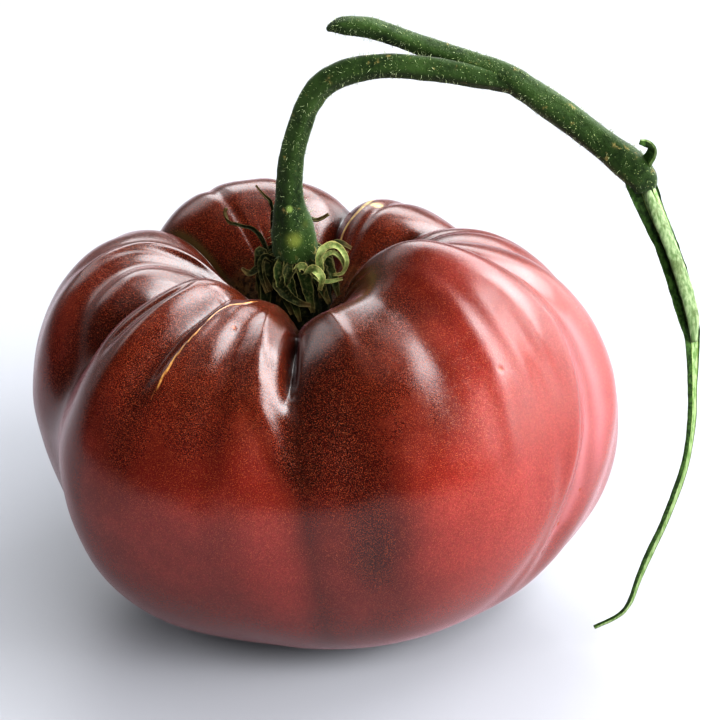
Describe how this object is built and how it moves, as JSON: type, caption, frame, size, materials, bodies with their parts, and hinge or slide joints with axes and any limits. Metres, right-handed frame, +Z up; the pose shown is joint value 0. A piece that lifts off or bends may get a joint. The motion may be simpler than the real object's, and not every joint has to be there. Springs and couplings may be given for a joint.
{
  "type": "tomato",
  "caption": "Ripe beefsteak tomato with deep ribs and creases, a dried calyx in its hollow, an arched green stem and a torn strip of vine hanging beside it.",
  "frame": {"origin": "middle of the flat spot under the fruit that it rests on", "axes": "+Z up out of the fruit towards the stem, -Y towards the front with the deep crease, +X towards the side the stem arches over"},
  "size_m": [0.1097, 0.0843, 0.1036],
  "materials": {
    "skin": "ripe brick-red tomato skin with a satin gloss, fine golden speckle and brown shoulders",
    "stem": "dull grey-green stem skin with fine hairs and light flecks",
    "pith": "pale moist pith on the torn face of the vine strip",
    "calyx": "dry, curled dark green and brown sepals"
  },
  "bodies": {
    "root": {"fruit": "skin", "stem": "stem", "pith": "pith", "calyx": "calyx"}
  },
  "joints": []
}
